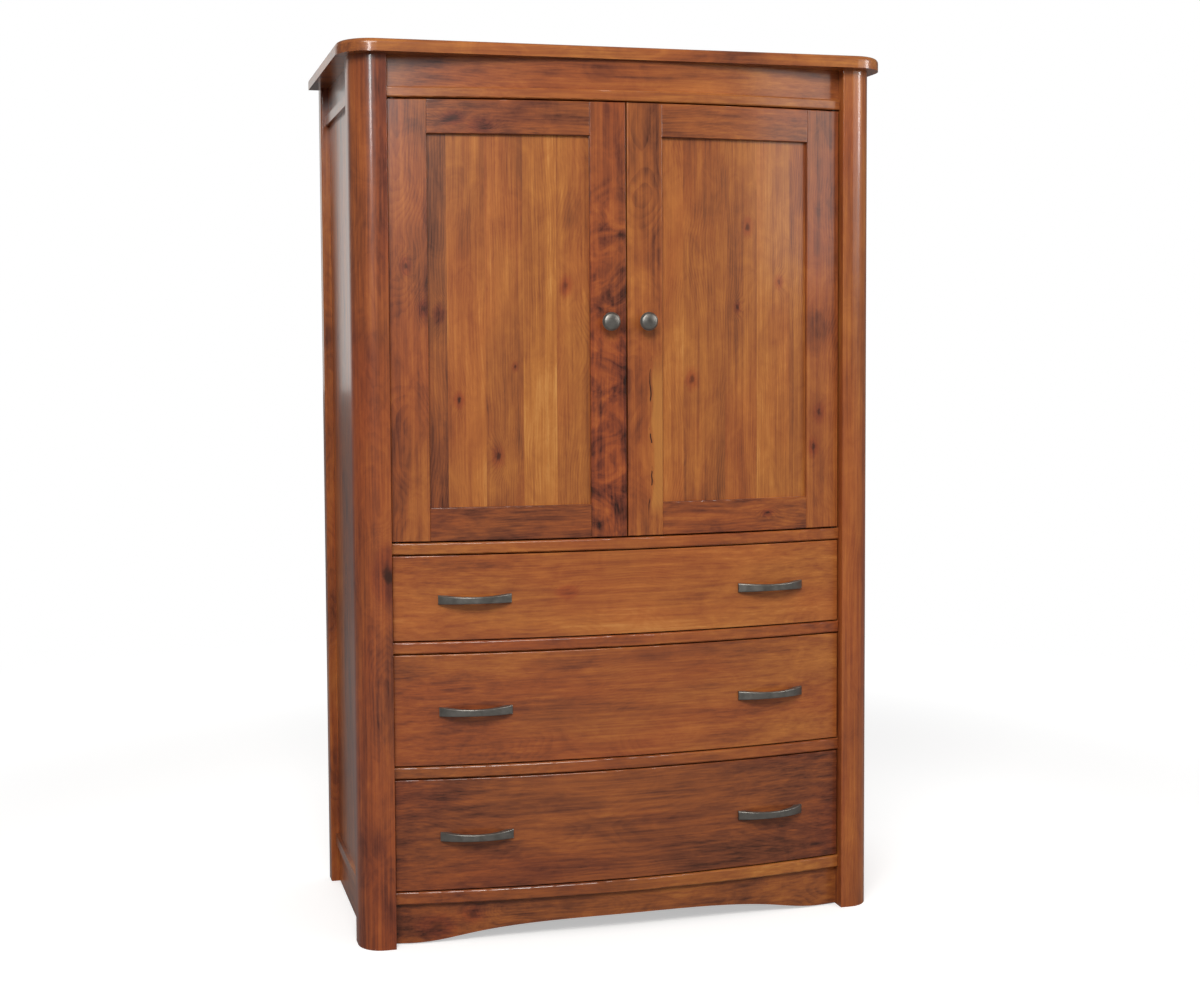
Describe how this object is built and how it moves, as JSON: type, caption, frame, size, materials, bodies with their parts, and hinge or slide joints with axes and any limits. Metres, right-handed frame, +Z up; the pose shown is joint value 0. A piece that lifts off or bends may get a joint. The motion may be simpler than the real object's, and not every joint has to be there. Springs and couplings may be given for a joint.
{
  "type": "armoire",
  "caption": "Bow-front wooden armoire with two framed doors over full-width drawers between rounded corner posts, on an arched base.",
  "frame": {"origin": "on the floor at the middle of the overall width and depth", "axes": "+Z up, the doors and drawers face -Y, +X is to the right of a person facing the front"},
  "size_m": [1.166, 0.56, 1.829],
  "materials": {
    "case_wood": "satin stained cherry",
    "door_wood": "satin stained cherry",
    "door_panel_wood": "satin stained cherry, edge-glued staves",
    "drawer_front_wood": "satin stained cherry",
    "drawer_box_wood": "clear lacquered maple",
    "inner_wood": "plain poplar",
    "back_plywood": "stained veneered plywood",
    "dark_pewter": "brushed dark pewter",
    "plated_steel": "zinc plated",
    "catch_plastic": "matt brown"
  },
  "bodies": {
    "case": {"back_panel": "back_plywood", "base_apron": "case_wood", "bottom_rail": "case_wood", "cabinet_floor": "back_plywood", "case_pivot_plates": "plated_steel", "case_slides": "plated_steel", "door_catches": "catch_plastic", "frieze_board": "case_wood", "front_left_post": "case_wood", "front_right_post": "case_wood", "head_rail": "case_wood", "inner_cleats": "inner_wood", "left_side_panel": "case_wood", "left_side_rails": "case_wood", "lower_rail": "case_wood", "lower_shelf": "case_wood", "middle_rail": "case_wood", "rear_left_post": "case_wood", "rear_right_post": "case_wood", "right_side_panel": "case_wood", "right_side_rails": "case_wood", "shelf_pins": "plated_steel", "top_panel": "case_wood", "upper_rail": "case_wood", "upper_shelf": "case_wood"},
    "left_door": {"left_door_bottom_rail": "door_wood", "left_door_inner_stile": "door_wood", "left_door_knob": "dark_pewter", "left_door_outer_stile": "door_wood", "left_door_panel": "door_panel_wood", "left_door_pivot_plates": "plated_steel", "left_door_top_rail": "door_wood"},
    "right_door": {"right_door_bottom_rail": "door_wood", "right_door_inner_stile": "door_wood", "right_door_knob": "dark_pewter", "right_door_outer_stile": "door_wood", "right_door_panel": "door_panel_wood", "right_door_pivot_plates": "plated_steel", "right_door_top_rail": "door_wood"},
    "upper_drawer": {"upper_drawer_back": "drawer_box_wood", "upper_drawer_bottom": "drawer_box_wood", "upper_drawer_front": "drawer_front_wood", "upper_drawer_pulls": "dark_pewter", "upper_drawer_sides": "drawer_box_wood", "upper_drawer_slides": "plated_steel"},
    "upper_slide_links": {"upper_slide_links": "plated_steel"},
    "middle_drawer": {"middle_drawer_back": "drawer_box_wood", "middle_drawer_bottom": "drawer_box_wood", "middle_drawer_front": "drawer_front_wood", "middle_drawer_pulls": "dark_pewter", "middle_drawer_sides": "drawer_box_wood", "middle_drawer_slides": "plated_steel"},
    "middle_slide_links": {"middle_slide_links": "plated_steel"},
    "lower_drawer": {"lower_drawer_back": "drawer_box_wood", "lower_drawer_bottom": "drawer_box_wood", "lower_drawer_front": "drawer_front_wood", "lower_drawer_pulls": "dark_pewter", "lower_drawer_sides": "drawer_box_wood", "lower_drawer_slides": "plated_steel"},
    "lower_slide_links": {"lower_slide_links": "plated_steel"}
  },
  "joints": [
    {"name": "left_door_hinge", "type": "hinge", "parent": "case", "child": "left_door", "pos_m": [-0.475, -0.20509, 1.2735], "axis": [0, 0, -1], "range_deg": [0, 90]},
    {"name": "right_door_hinge", "type": "hinge", "parent": "case", "child": "right_door", "pos_m": [0.475, -0.20509, 1.2735], "axis": [0, 0, 1], "range_deg": [0, 90]},
    {"name": "upper_drawer_slide", "type": "slide", "parent": "case", "child": "upper_drawer", "axis": [0, -1, 0], "range_m": [0, 0.39]},
    {"name": "upper_link_slide", "type": "slide", "parent": "case", "child": "upper_slide_links", "axis": [0, -1, 0], "range_m": [0, 0.195]},
    {"name": "middle_drawer_slide", "type": "slide", "parent": "case", "child": "middle_drawer", "axis": [0, -1, 0], "range_m": [0, 0.39]},
    {"name": "middle_link_slide", "type": "slide", "parent": "case", "child": "middle_slide_links", "axis": [0, -1, 0], "range_m": [0, 0.195]},
    {"name": "lower_drawer_slide", "type": "slide", "parent": "case", "child": "lower_drawer", "axis": [0, -1, 0], "range_m": [0, 0.39]},
    {"name": "lower_link_slide", "type": "slide", "parent": "case", "child": "lower_slide_links", "axis": [0, -1, 0], "range_m": [0, 0.195]}
  ],
  "couplings": [
    {"joint": "upper_link_slide", "follows": "upper_drawer_slide", "ratio": 0.5},
    {"joint": "middle_link_slide", "follows": "middle_drawer_slide", "ratio": 0.5},
    {"joint": "lower_link_slide", "follows": "lower_drawer_slide", "ratio": 0.5}
  ]
}
